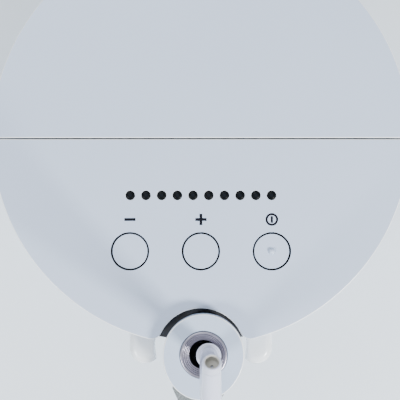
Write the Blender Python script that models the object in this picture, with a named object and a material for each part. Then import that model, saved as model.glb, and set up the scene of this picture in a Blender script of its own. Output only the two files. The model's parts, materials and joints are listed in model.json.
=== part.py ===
"""Countertop water flosser (oral irrigator), standing on four feet.

A round base 160 mm across holds the motor and pump. Its rear half carries a lift-out water tank
with a hinged lid, its front half a control panel with three buttons and a row of level lights.
The handle stands in a cradle cut into the front of the rim and carries a rotating collar with a
plug-in jet nozzle.

+Z is up and the handle is at the front, -Y. Sizes below are millimetres, turned into metres where
the meshes are made. The base's own axis is the empty base_axis, and the handle's is handle_axis.
"""

import math

import bmesh
import bpy

MM = 0.001
GAP = 0.3  # between pieces that touch

# Base, round about base_axis
RIM_R = 80.0
BODY_R = 78.0
WALL = 2.5
BASE_Y = 12.3  # puts the middle of the whole object over the origin
COVER_Z = 3.0
DRUM_Z = 6.3
FOOT_R = 8.0
FOOT_X = 46.0
FOOT_Y = (-38.0, 52.0)
SCREW_SPOTS = [(-62.0, 0.0), (62.0, 0.0), (-32.0, -60.0), (32.0, -60.0)]
DECK_Z = 66.0
DECK_T = 3.0
SKIRT_Z = 150.0
TOP_Z = 160.0
TOP_T = 3.0
EDGE_R = 1.2
SPLIT_Y = -0.7
SPLIT_GAP = 0.5
BACK_Y = -1.2  # back of the front housing

# Cradle notch in the front of the rim
NOTCH_Y = -82.7
NOTCH_R = 17.0
CHANNEL_R = 18.5
CORNER_R = 4.0
CLIP_Z = (141.0, 149.4)
ARM_REACH_X = 28.4
ARM_R = 6.2
ARM_DEPTH = 7.0
ARM_BACK = 12.0
LINER_Z = (118.0, 149.7)
LINER_INNER_R = 13.6
LINER_ANGLE = math.radians(15.0)
CUP_Z = (24.0, 52.0)
CUP_R = 17.0

# Control panel
BUTTON_PITCH = 27.1
BUTTON_Y = -43.8
BUTTON_R = 6.7
BUTTON_TOP_Z = TOP_Z - 0.4
BUTTON_HOLE_R = 7.25
BUTTON_FLANGE_R = 8.4
LIGHT_COUNT = 10
LIGHT_PITCH = 6.0
LIGHT_Y = -22.4
LIGHT_R = 1.65
LIGHT_HOLE_R = 1.85
BOARD_Z = 147.6
BOARD_T = 1.6

# Tank and lid
TANK_FLOOR_Z = DECK_Z + 0.4
TANK_TOP_Z = 149.9
TANK_WALL = 2.0
TANK_FRONT_Y = 0.0
TANK_REAR_Y = 68.0
HINGE_Y = 73.0
HINGE_Z = 152.2
KNUCKLE_R = 3.2
PIN_R = 1.5
PIN_HOLE_R = 1.6
LID_KNUCKLE_HALF = 12.0
TANK_KNUCKLE = (12.4, 26.0)
OUTLET = (22.0, 30.0)
WIRE_HOLE = (0.0, -30.0)
GLAND_X = 38.0
GLAND_Z = 22.0

# Pump and motor, in the drum
GEAR_AT = (-4.0, 12.0)
GEAR_MODULE = 0.8
GEAR_TEETH = 40
PINION_TEETH = 10
GEAR_Z = (43.2, 48.0)
CRANK_R = 4.0
PLATE_Z = (39.6, 42.4)
ROD_Z = (51.0, 54.0)
PISTON_R = 5.0
PISTON_Z = 52.5
PISTON_X = 26.0
LEG_R = 3.5
LEG_SPOTS = [(-36.0, -0.5), (-36.0, 24.5), (50.0, 5.5), (50.0, 18.5)]

# Handle, round about handle_axis
HANDLE_X = 1.0
HANDLE_Y = -82.3
HEAD_R = 15.3
HEAD_FRONT_R = 17.2  # the head is drawn out towards the front
HEAD_Z = (152.0, 166.0)
HEAD_PLATE_Z = 162.2
NECK_R = 13.2
GRIP_R = 13.2
GRIP_WALL = 2.0
GRIP_BOTTOM_Z = 36.0
COLLAR_R = 8.7
COLLAR_HOLE_R = 5.5
COLLAR_Z = (156.5, 166.6)
TWIST = math.radians(-8.0)
THUMB_TIP_R = 22.3
THUMB_STEM = 7.0
THUMB_WING = 9.9
THUMB_TIP_HALF = 7.3
THUMB_CORNER = 3.2
THUMB_Z = (157.0, 161.0)

# Jet nozzle, plugged into the collar off its middle
NOZZLE_X = 1.9
NOZZLE_R = 3.3
NOZZLE_END_R = 2.6
PLUG_R = 3.0
FLANGE_R = 4.7
FLANGE_Z = (166.9, 168.3)
NOZZLE_RISE_Z = 230.6
NOZZLE_BEND_R = 12.0
NOZZLE_LEAN = math.radians(40.0)
NOZZLE_REACH = 18.2
MOUTH_R = 1.85
MOUTH_LENGTH = 3.6
MOUTH_DEPTH = 2.5
JET_R = 0.4

MATERIALS = {
    "white_plastic": ((0.80, 0.83, 0.87), 0.38, 0.0),
    "white_gloss": ((0.84, 0.86, 0.90), 0.22, 0.0),
    "tank_plastic": ((0.72, 0.82, 0.90), 0.15, 0.0),
    "dark_lens": ((0.03, 0.035, 0.04), 0.25, 0.0),
    "grey_plastic": ((0.42, 0.45, 0.46), 0.55, 0.0),
    "rubber": ((0.10, 0.10, 0.11), 0.80, 0.0),
    "seal_rubber": ((0.15, 0.16, 0.18), 0.70, 0.0),
    "collar_metal": ((0.55, 0.54, 0.60), 0.35, 0.9),
    "steel": ((0.62, 0.62, 0.64), 0.30, 1.0),
    "brass": ((0.72, 0.55, 0.25), 0.35, 1.0),
    "board_green": ((0.06, 0.25, 0.14), 0.50, 0.0),
    "nylon": ((0.90, 0.89, 0.84), 0.45, 0.0),
    "clear_tube": ((0.80, 0.85, 0.90), 0.20, 0.0),
    "nozzle_plastic": ((0.86, 0.88, 0.93), 0.20, 0.0),
    "nozzle_tip": ((0.55, 0.54, 0.47), 0.60, 0.0),
}


# Blender helpers


def clear_scene():
    for old in list(bpy.data.objects):
        bpy.data.objects.remove(old)


def material(name):
    found = bpy.data.materials.get(name)
    if found:
        return found
    colour, roughness, metallic = MATERIALS[name]
    made = bpy.data.materials.new(name)
    made.use_nodes = True
    shader = made.node_tree.nodes["Principled BSDF"]
    shader.inputs["Base Color"].default_value = (*colour, 1.0)
    shader.inputs["Roughness"].default_value = roughness
    shader.inputs["Metallic"].default_value = metallic
    return made


def empty(name, at, parent=None):
    made = bpy.data.objects.new(name, None)
    made.location = [MM * v for v in at]
    made.parent = parent
    bpy.context.scene.collection.objects.link(made)
    return made


def add(name, points, faces, finish, parent, at=(0, 0, 0), turn=(0, 0, 0)):
    """A mesh object from points in millimetres about its own origin."""
    mesh = bpy.data.meshes.new(name)
    mesh.from_pydata([[MM * v for v in p] for p in points], [], faces)
    edit = bmesh.new()
    edit.from_mesh(mesh)
    bmesh.ops.recalc_face_normals(edit, faces=edit.faces)
    edit.to_mesh(mesh)
    edit.free()
    mesh.shade_smooth()
    mesh.set_sharp_from_angle(angle=math.radians(30))
    made = bpy.data.objects.new(name, mesh)
    made.parent = parent
    made.location = [MM * v for v in at]
    made.rotation_euler = turn
    bpy.context.scene.collection.objects.link(made)
    if finish:
        mesh.materials.append(material(finish))
    else:
        made.hide_render = True
        made.display_type = "WIRE"
    return made


def prism(name, outline, low, high, finish, parent, **place):
    """An upright solid with the given plan outline."""
    n = len(outline)
    points = [(x, y, low) for x, y in outline] + [(x, y, high) for x, y in outline]
    faces = [list(range(n))[::-1], list(range(n, 2 * n))]
    faces += [[i, (i + 1) % n, n + (i + 1) % n, n + i] for i in range(n)]
    return add(name, points, faces, finish, parent, **place)


def block(name, low, high, finish, parent, **place):
    outline = [(low[0], low[1]), (high[0], low[1]), (high[0], high[1]), (low[0], high[1])]
    return prism(name, outline, low[2], high[2], finish, parent, **place)


def turned(name, profile, finish, parent, sides=22, **place):
    """A solid of revolution about its own Z from a closed profile of (radius, height)."""
    points, rings, faces = [], [], []
    for radius, height in profile:
        count = 1 if radius == 0 else sides
        rings.append([len(points) + k for k in range(count)])
        for k in range(count):
            a = 2 * math.pi * k / sides
            points.append((radius * math.cos(a), radius * math.sin(a), height))
    for here, there in zip(rings, rings[1:] + rings[:1]):
        if len(here) == len(there) == 1:
            continue
        for k in range(sides):
            after = (k + 1) % sides
            corners = [here[k % len(here)], here[after % len(here)]]
            corners += [there[after % len(there)], there[k % len(there)]]
            faces.append(list(dict.fromkeys(corners)))
    return add(name, points, faces, finish, parent, **place)


def tube(name, route, radius, finish, parent, resolution=2, end_radius=None):
    """A round tube along a route of points, tapering over its last part to end_radius if given."""
    curve = bpy.data.curves.new(name, "CURVE")
    curve.dimensions = "3D"
    curve.bevel_depth = MM * radius
    curve.bevel_resolution = resolution
    curve.use_fill_caps = True
    spline = curve.splines.new("POLY")
    spline.points.add(len(route) - 1)
    taper = (end_radius or radius) / radius
    start = len(route) // 2
    for k, (point, at) in enumerate(zip(spline.points, route)):
        point.co = (*[MM * v for v in at], 1.0)
        point.radius = 1 + (taper - 1) * max(0, k - start) / (len(route) - 1 - start)
    curve.materials.append(material(finish))
    made = bpy.data.objects.new(name, curve)
    made.parent = parent
    bpy.context.scene.collection.objects.link(made)
    return made


def combine(target, other, operation="DIFFERENCE"):
    """Cuts other out of target, or joins it on; other itself is only a guide."""
    step = target.modifiers.new(other.name, "BOOLEAN")
    step.operation = operation
    step.object = other
    step.solver = "EXACT"
    return target


def soften(target, width, segments=2):
    step = target.modifiers.new("edge", "BEVEL")
    step.width = MM * width
    step.segments = segments
    step.limit_method = "ANGLE"
    step.angle_limit = math.radians(40)
    return target


# Outlines


def arc(x, y, radius, start, end, steps):
    """Points along an arc, both ends included; angles in radians, either way round."""
    turns = [start + (end - start) * k / steps for k in range(steps + 1)]
    return [(x + radius * math.cos(a), y + radius * math.sin(a)) for a in turns]


def circle(x, y, radius, steps=32):
    return arc(x, y, radius, 0, 2 * math.pi, steps)[:-1]


def base_outline(radius, notch, corner=CORNER_R, back=None):
    """The base's plan: a disc with the cradle notch at its front, cut off behind y = back if given."""
    reach, spread = radius - corner, notch + corner
    corner_y = -(reach**2 - spread**2 + NOTCH_Y**2) / (2 * -NOTCH_Y)
    corner_x = math.sqrt(reach**2 - corner_y**2)
    rim = math.atan2(corner_y, corner_x)
    toward = math.atan2(NOTCH_Y - corner_y, -corner_x)
    notch_angle = math.atan2(corner_y - NOTCH_Y, corner_x)
    start = 0.0 if back is None else math.asin(back / radius)
    right = arc(corner_x, corner_y, corner, toward, rim, 3)
    left = arc(-corner_x, corner_y, corner, math.pi - rim, math.pi - toward, 3)
    inside = arc(0, NOTCH_Y, notch, math.pi - notch_angle, notch_angle, 16)
    half = arc(0, 0, radius, rim, start, 18)[1:]
    far = arc(0, 0, radius, math.pi - start, math.pi - rim, 18)[:-1]
    rear = [] if back is not None else arc(0, 0, radius, 0, math.pi, 44)[1:-1]
    return right + half + rear + far + left + inside[1:-1]


def rear_outline(radius, front, rear=None):
    """The rear half of a disc, from y = front, flattened at y = rear if given."""
    start = math.asin(front / radius)
    if rear is None:
        return arc(0, 0, radius, start, math.pi - start, 44)
    corner = math.asin(rear / radius)
    right = arc(0, 0, radius, start, corner, 14)
    left = arc(0, 0, radius, math.pi - corner, math.pi - start, 14)
    return right + left


def gear_outline(teeth, phase=0.0):
    """Straight-sided teeth with a little backlash, for GEAR_MODULE."""
    pitch_r = GEAR_MODULE * teeth / 2
    shape = [(-0.62, -1.0), (-0.26, 0.8), (0.26, 0.8), (0.62, -1.0)]
    points = []
    for k in range(teeth):
        middle = phase + 2 * math.pi * k / teeth
        for across, out in shape:
            radius = pitch_r + GEAR_MODULE * out
            a = middle + GEAR_MODULE * across * 1.25 / pitch_r
            points.append((radius * math.cos(a), radius * math.sin(a)))
    return points


# Base


def make_feet(base):
    top = COVER_Z - GAP
    profile = [(0, 0), (FOOT_R - 0.8, 0), (FOOT_R, 0.8), (FOOT_R, top), (0, top)]
    for side, x in (("left", -FOOT_X), ("right", FOOT_X)):
        for end, y in zip(("front", "rear"), FOOT_Y):
            turned(f"foot_{end}_{side}", profile, "rubber", base, sides=16, at=(x, y, 0))


def make_bottom(base):
    outline = base_outline(BODY_R - 1.0, CHANNEL_R + 1.0)
    cover = prism("bottom_cover", outline, COVER_Z, DRUM_Z - GAP, "white_plastic", base)
    hole = [(0, 2), (2.6, 2), (2.6, 8), (0, 8)]
    screw = [(0, 3.4), (2.3, 3.4), (2.3, 5.0), (1.3, 5.6), (1.3, 8.6), (0, 9.2)]
    for k, (x, y) in enumerate(SCREW_SPOTS):
        combine(cover, turned(f"screw_hole_{k}", hole, None, base, sides=16, at=(x, y, 0)))
        turned(f"cover_screw_{k + 1}", screw, "steel", base, sides=12, at=(x, y, 0))


def make_drum(base):
    """The lower housing, with a deck that the tank stands on."""
    outline = base_outline(BODY_R, CHANNEL_R)
    drum = prism("base_housing", outline, DRUM_Z, DECK_Z, "white_plastic", base)
    inner = base_outline(BODY_R - WALL, CHANNEL_R + WALL)
    combine(drum, prism("drum_space", inner, DRUM_Z - 1, DECK_Z - DECK_T, None, base))
    for name, at, radius in (("socket_hole", OUTLET, 8.3), ("wire_hole", WIRE_HOLE, 6.0)):
        profile = [(0, 50), (radius, 50), (radius, 70), (0, 70)]
        combine(drum, turned(name, profile, None, base, sides=16, at=(*at, 0)))
    combine(drum, block("mains_hole", (-13.2, 70, 16.8), (13.2, 85, 35.2), None, base))
    gland = [(0, -9), (4.2, -9), (4.2, 9), (0, 9)]
    place = {"at": (GLAND_X, -68.2, GLAND_Z), "turn": (math.pi / 2, 0, 0)}
    combine(drum, turned("gland_hole", gland, None, base, sides=14, **place))


def make_front_housing(base):
    """The upright front half, between the deck and the control panel."""
    low, high = DECK_Z + GAP, SKIRT_Z - GAP
    outline = base_outline(BODY_R, CHANNEL_R, back=BACK_Y)
    front = prism("front_housing", outline, low, high, "white_plastic", base)
    inner = base_outline(BODY_R - WALL, CHANNEL_R + WALL, back=BACK_Y - WALL)
    combine(front, prism("front_space", inner, low - 1, high + 1, None, base))


def make_cradle(base):
    """Two round-ended arms under the rim, the channel's soft lining, and the cup for the handle's foot."""
    low, high = CLIP_Z
    cut = [(0, low - 2), (CHANNEL_R, low - 2), (CHANNEL_R, high + 2), (0, high + 2)]
    bore = turned("arm_bore", cut, None, base, sides=40, at=(0, NOTCH_Y, 0))
    seat = prism("arm_seat", base_outline(BODY_R + GAP, CHANNEL_R - GAP), low - 2, high + 2, None, base)
    for side, name in ((-1, "left"), (1, "right")):
        x = side * (ARM_REACH_X - ARM_R)
        plan = arc(x, ARM_R - ARM_DEPTH, ARM_R, math.pi, 2 * math.pi, 12)
        plan += [(x + ARM_R, ARM_BACK), (x - ARM_R, ARM_BACK)]
        arm = prism(f"cradle_arm_{name}", plan, low, high, "white_gloss", base, at=(0, HANDLE_Y, 0))
        soften(arm, 2.4, 3)
        combine(arm, bore)
        combine(arm, seat)
    start, end = LINER_ANGLE, math.pi - LINER_ANGLE
    plan = arc(0, NOTCH_Y, CHANNEL_R - GAP, start, end, 20)
    plan += arc(HANDLE_X, HANDLE_Y, LINER_INNER_R, end, start, 20)
    prism("cradle_liner", plan, *LINER_Z, "rubber", base)
    low, high = CUP_Z
    cup = [
        (5.5, low), (CUP_R - 1.0, low), (CUP_R, low + 1), (CUP_R, high - 1), (CUP_R - 1, high),
        (14.6, high), (14.0, high - 1), (14.0, GRIP_BOTTOM_Z - GAP), (5.5, GRIP_BOTTOM_Z - GAP),
    ]
    turned("handle_cup", cup, "white_plastic", base, at=(HANDLE_X, HANDLE_Y, 0))


def make_panel(base):
    """The front half of the round top, with its button and light holes."""
    outline = base_outline(RIM_R, NOTCH_R, back=SPLIT_Y - SPLIT_GAP / 2)
    panel = prism("control_panel", outline, SKIRT_Z, TOP_Z, "white_plastic", base)
    soften(panel, EDGE_R)
    inner = base_outline(RIM_R - WALL, NOTCH_R + WALL, back=SPLIT_Y - WALL)
    combine(panel, prism("panel_space", inner, SKIRT_Z - 1, TOP_Z - TOP_T, None, base))
    low, high = SKIRT_Z, TOP_Z + 5
    profile = [(0, low), (BUTTON_HOLE_R, low), (BUTTON_HOLE_R, high), (0, high)]
    for k in (-1, 0, 1):
        at = (k * BUTTON_PITCH, BUTTON_Y, 0)
        combine(panel, turned(f"button_hole_{k + 1}", profile, None, base, sides=20, at=at))
    profile = [(0, low), (LIGHT_HOLE_R, low), (LIGHT_HOLE_R, high), (0, high)]
    for k in range(LIGHT_COUNT):
        at = (light_x(k), LIGHT_Y, 0)
        combine(panel, turned(f"light_hole_{k}", profile, None, base, sides=12, at=at))


def light_x(k):
    return (k - (LIGHT_COUNT - 1) / 2) * LIGHT_PITCH


def make_controls(base):
    """Buttons, their springs and switches, the lights and the board under them."""
    button = [
        (0, 153.4), (1.6, 153.4), (1.6, 154.2), (BUTTON_FLANGE_R, 154.2), (BUTTON_FLANGE_R, 155.6),
        (BUTTON_R, 155.6),
        (BUTTON_R, BUTTON_TOP_Z - 0.3), (BUTTON_R - 0.3, BUTTON_TOP_Z), (0, BUTTON_TOP_Z),
    ]
    switch_low = BOARD_Z + BOARD_T + GAP
    for k, name in enumerate(("minus", "plus", "power")):
        at = ((k - 1) * BUTTON_PITCH, BUTTON_Y, 0)
        turned(f"{name}_button", button, "white_plastic", base, sides=20, at=at)
        switch = [(0, switch_low), (2.6, switch_low), (2.6, 151.6), (1.2, 151.6), (1.2, 152.3), (0, 152.3)]
        turned(f"{name}_switch", switch, "rubber", base, sides=16, at=at)
    low = BOARD_Z + BOARD_T + GAP
    guide = block("level_lights", (-31, LIGHT_Y - 3, low), (31, LIGHT_Y + 3, low + 3), "dark_lens", base)
    lens = [(0, low + 2), (LIGHT_R, low + 2), (LIGHT_R, TOP_Z - 0.1), (0, TOP_Z - 0.1)]
    for k in range(LIGHT_COUNT):
        light = turned(f"light_{k}", lens, None, base, sides=12, at=(light_x(k), LIGHT_Y, 0))
        combine(guide, light, "UNION")
    block("display_board", (-40, -56, BOARD_Z), (40, -14, BOARD_Z + BOARD_T), "board_green", base)
    block("control_board", (-30, -40, 80), (30, -38.4, 130), "board_green", base)


# Motor and pump


def make_motor(base):
    x, y = GEAR_AT
    motor_x = x - GEAR_MODULE * (GEAR_TEETH + PINION_TEETH) / 2
    low, high = PLATE_Z
    plate = block("pump_frame", (motor_x - 15, y - 17, low), (PISTON_X + 32, y + 17, high), "nylon", base)
    leg = [(0, DRUM_Z + 1), (LEG_R, DRUM_Z + 1), (LEG_R, low + 1), (0, low + 1)]
    for k, at in enumerate(LEG_SPOTS):
        combine(plate, turned(f"frame_leg_{k}", leg, None, base, sides=16, at=(*at, 0)), "UNION")
    for name, radius, hx in (("shaft_hole", 3.0, motor_x), ("axle_hole", 1.5, x)):
        hole = [(0, low - 1), (radius, low - 1), (radius, high + 1), (0, high + 1)]
        combine(plate, turned(name, hole, None, base, sides=16, at=(hx, y, 0)))
    can = [(0, 10), (11, 10), (12, 11), (12, low - GAP), (3.0, low - GAP), (3.0, low - 6), (0, low - 6)]
    turned("pump_motor", can, "steel", base, sides=22, at=(motor_x, y, 0))
    teeth = gear_outline(PINION_TEETH, math.pi / PINION_TEETH)
    pinion = prism("motor_pinion", teeth, *GEAR_Z, "brass", base, at=(motor_x, y, 0))
    shaft = [(0, low - 5.6), (1.2, low - 5.6), (1.2, GEAR_Z[0] + 1), (0, GEAR_Z[0] + 1)]
    combine(pinion, turned("motor_shaft", shaft, None, base, sides=16, at=(motor_x, y, 0)), "UNION")
    gear = prism("crank_gear", gear_outline(GEAR_TEETH), *GEAR_Z, "nylon", base, at=(x, y, 0))
    hole = [(0, 40), (1.6, 40), (1.6, 50), (0, 50)]
    combine(gear, turned("gear_bore", hole, None, base, sides=14, at=(x, y, 0)))
    crank = [(0, GEAR_Z[1] - 1), (1.8, GEAR_Z[1] - 1), (1.8, ROD_Z[0] - 0.5), (0, ROD_Z[0] - 0.5)]
    pin = turned("crank_pin", crank, None, base, sides=16, at=(x + CRANK_R, y, 0))
    combine(gear, pin, "UNION")
    axle = [(0, low - 2), (2.6, low - 2), (2.6, low - GAP), (1.4, low - GAP), (1.4, 48.6), (0, 48.6)]
    turned("gear_axle", axle, "steel", base, sides=14, at=(x, y, 0))


def make_pump(base):
    """Piston and rod along +X, the cylinder, its head and two valve cartridges."""
    x, y = GEAR_AT
    along = (0, math.pi / 2, 0)
    rod_start = x + CRANK_R - PISTON_X
    piston = [(0, 0), (PISTON_R - 0.8, 0), (PISTON_R, 0.8), (PISTON_R, 9.5), (0, 9.5)]
    place = {"at": (PISTON_X, y, PISTON_Z), "turn": along}
    plunger = turned("pump_piston", piston, "nylon", base, sides=22, **place)
    half = (ROD_Z[1] - ROD_Z[0]) / 2
    rod = block("rod", (rod_start, -2.4, -half), (1.0, 2.4, half), None, base, at=(PISTON_X, y, PISTON_Z))
    combine(plunger, rod, "UNION")
    eye = [(0, -half), (4.2, -half), (4.2, half), (0, half)]
    at = (x + CRANK_R, y, PISTON_Z)
    combine(plunger, turned("rod_eye", eye, None, base, sides=16, at=at), "UNION")
    bore = PISTON_R + 0.05
    cylinder = [(bore, 0), (8.0, 0), (8.0, 20.0), (bore, 20.0)]
    place = {"at": (PISTON_X + 1.0, y, PISTON_Z), "turn": along}
    turned("pump_cylinder", cylinder, "nylon", base, sides=22, **place)
    head_x = PISTON_X + 21.3
    low, high = (head_x, y - 9, PISTON_Z - 9), (head_x + 11, y + 9, PISTON_Z + 9)
    head = block("pump_head", low, high, "white_plastic", base)
    hole = [(0, -3), (2.9, -3), (2.9, 12), (0, 12)]
    valve = [(1.3, 0), (2.6, 0), (2.6, 6.5), (3.6, 6.5), (3.6, 8.0), (1.6, 12.0), (1.3, 12.0)]
    for name, side in (("inlet", -1), ("outlet", 1)):
        outward = (-side * math.pi / 2, 0, 0)
        at = (head_x + 6, y + side, PISTON_Z)
        combine(head, turned(f"{name}_bore", hole, None, base, sides=14, at=at, turn=outward))
        at = (head_x + 6, y + side * 2.8, PISTON_Z)
        turned(f"{name}_valve", valve, "grey_plastic", base, sides=14, at=at, turn=outward)


def smooth_route(corners, per_span=5):
    """A smooth curve through the corner points (Catmull-Rom)."""
    guide = [corners[0], *corners, corners[-1]]
    route = []
    for a, b, c, d in zip(guide, guide[1:], guide[2:], guide[3:]):
        for k in range(per_span):
            t = k / per_span
            point = []
            for p, q, r, s in zip(a, b, c, d):
                square = 2 * p - 5 * q + 4 * r - s
                cube = 3 * q - p - 3 * r + s
                point.append(0.5 * (2 * q + (r - p) * t + square * t**2 + cube * t**3))
            route.append(point)
    return [*route, list(corners[-1])]


def make_plumbing(base):
    """Tank socket, the two inner tubes, the hose gland and the mains inlet."""
    x, y = OUTLET
    top = DECK_Z - 0.4
    socket = [(6.7, 56.0), (8.0, 56.0), (8.0, top), (6.7, top)]
    cup = turned("tank_socket", socket, "grey_plastic", base, sides=22, at=(x, y, 0))
    floor = [(1.6, 51.0), (3.0, 51.0), (3.0, 54.0), (8.0, 54.0), (8.0, 57.0), (1.6, 57.0)]
    combine(cup, turned("socket_floor", floor, None, base, sides=22, at=(x, y, 0)), "UNION")
    pump_x = PISTON_X + 27.3
    pump_y = GEAR_AT[1]
    suction = [
        (x, y, 50.6), (x, y, 46.5), (x + 6, y + 2, 45.0), (pump_x - 10, y + 4, 47.0),
        (pump_x - 1, y + 2, 52.0), (pump_x, pump_y + 15.4, PISTON_Z),
    ]
    tube("suction_tube", smooth_route(suction), 2.2, "clear_tube", base)
    discharge = [
        (pump_x, pump_y - 15.4, PISTON_Z), (pump_x, pump_y - 19, PISTON_Z - 1), (pump_x, -18, 42),
        (54, -34, 28), (43, -46, GLAND_Z), (GLAND_X, -52, GLAND_Z), (GLAND_X, -55.0, GLAND_Z),
    ]
    tube("discharge_tube", smooth_route(discharge), 2.0, "clear_tube", base)
    gland = [(1.5, 0), (3.0, 0), (3.0, 6.0), (4.0, 6.0), (4.0, 17.0), (6.0, 17.0)]
    gland += [(5.2, 21.5), (1.5, 21.5)]
    place = {"at": (GLAND_X, -55.4, GLAND_Z), "turn": (math.pi / 2, 0, 0)}
    turned("hose_gland", gland, "white_plastic", base, sides=16, **place)
    mains = block("mains_inlet", (-12.9, 68.0, 17.1), (12.9, 77.6, 34.9), "rubber", base)
    combine(mains, block("mains_recess", (-9.5, 71.0, 20.0), (9.5, 80.0, 32.0), None, base))
    contact = [(0, -1), (1.2, -1), (1.2, 5), (0, 5)]
    for side in (-1, 1):
        place = {"at": (4.3 * side, 75.5, 26.0), "turn": (math.pi / 2, 0, 0)}
        pin = turned(f"mains_pin_{side + 1}", contact, None, base, sides=12, **place)
        combine(mains, pin, "UNION")


# Tank and lid


def make_tank(base):
    front = TANK_FRONT_Y
    plan = rear_outline(BODY_R, front, TANK_REAR_Y)
    tank = prism("water_tank", plan, TANK_FLOOR_Z, TANK_TOP_Z, "tank_plastic", base)
    plan = rear_outline(BODY_R - TANK_WALL, front + TANK_WALL, TANK_REAR_Y - TANK_WALL)
    combine(tank, prism("tank_space", plan, TANK_FLOOR_Z + TANK_WALL, 170, None, base))
    x, y = OUTLET
    spout = [(0, 59.5), (6.0, 59.5), (6.0, TANK_FLOOR_Z + 1), (0, TANK_FLOOR_Z + 1)]
    combine(tank, turned("tank_spout", spout, None, base, sides=22, at=(x, y, 0)), "UNION")
    bore = [(0, 58), (4.0, 58), (4.0, 75), (0, 75)]
    combine(tank, turned("spout_bore", bore, None, base, sides=22, at=(x, y, 0)))
    near, far = TANK_KNUCKLE
    for side in (-1, 1):
        start = near if side > 0 else -far
        low, high = (start, TANK_REAR_Y - 1.5, 144.0), (start + far - near, HINGE_Y + 1.0, HINGE_Z)
        combine(tank, block(f"hinge_web_{side + 1}", low, high, None, base), "UNION")
        knuckle = [(0, 0), (KNUCKLE_R, 0), (KNUCKLE_R, far - near), (0, far - near)]
        place = {"at": (start, HINGE_Y, HINGE_Z), "turn": (0, math.pi / 2, 0)}
        barrel = turned(f"tank_knuckle_{side + 1}", knuckle, None, base, sides=16, **place)
        combine(tank, barrel, "UNION")
    combine(tank, hinge_bar("tank_pin_hole", PIN_HOLE_R, 30.0, None, base))
    seal = [(6.05, 60.4), (6.6, 60.9), (6.6, 62.5), (6.05, 63.0)]
    turned("spout_seal", seal, "seal_rubber", base, sides=22, at=(x, y, 0))
    valve = [(0, 60.4), (1.2, 60.4), (1.2, 68.8), (6.4, 68.8), (6.4, 70.4), (1.2, 71.4)]
    valve += [(1.2, 73.5), (0, 73.5)]
    turned("tank_valve", valve, "grey_plastic", base, sides=20, at=(x, y, 0))


def hinge_bar(name, radius, half, finish, parent):
    """A round bar on the hinge's axis, reaching half its length either way."""
    place = {"at": (-half, HINGE_Y, HINGE_Z), "turn": (0, math.pi / 2, 0)}
    profile = [(0, 0), (radius, 0), (radius, 2 * half), (0, 2 * half)]
    return turned(name, profile, finish, parent, sides=14, **place)


def make_lid(base):
    hinge = empty("lid_axis", (0, HINGE_Y, HINGE_Z), base)
    back_to_base = (0, -HINGE_Y, -HINGE_Z)
    low = SKIRT_Z + 0.3
    front = SPLIT_Y + SPLIT_GAP / 2
    plan = rear_outline(RIM_R, front)
    lid = prism("tank_lid", plan, low, TOP_Z, "white_plastic", hinge, at=back_to_base)
    soften(lid, EDGE_R)
    plan = rear_outline(RIM_R - WALL, front + WALL)
    space = prism("lid_space", plan, low - 1, TOP_Z - TOP_T, None, hinge, at=back_to_base)
    combine(lid, space)
    under = TOP_Z - TOP_T
    gate = block("lid_gate", (-29.0, 64.0, low - 1), (29.0, 90.0, under), None, hinge, at=back_to_base)
    combine(lid, gate)
    half = LID_KNUCKLE_HALF
    web = block("lid_web", (-half, -2.2, 0), (half, 3.0, under - HINGE_Z + 1), None, hinge)
    combine(lid, web, "UNION")
    across = (0, math.pi / 2, 0)
    knuckle = [(0, -half), (KNUCKLE_R, -half), (KNUCKLE_R, half), (0, half)]
    barrel = turned("lid_knuckle", knuckle, None, hinge, sides=16, turn=across)
    combine(lid, barrel, "UNION")
    hole = [(0, -40), (PIN_HOLE_R, -40), (PIN_HOLE_R, 40), (0, 40)]
    combine(lid, turned("lid_pin_hole", hole, None, hinge, sides=14, turn=across))
    hinge_bar("lid_hinge_pin", PIN_R, 26.0, "steel", base)


# Handle and nozzle


def half_plan(outer, inner, side):
    """Half of a ring's plan: side +1 is the rear half and -1 the front, with a fine seam between."""
    seam = GAP / 2
    out, inn = math.asin(seam / outer), math.asin(seam / inner)
    points = arc(0, 0, outer, out, math.pi - out, 16) + arc(0, 0, inner, math.pi - inn, inn, 16)
    return [(x, side * y) for x, y in points]


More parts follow.
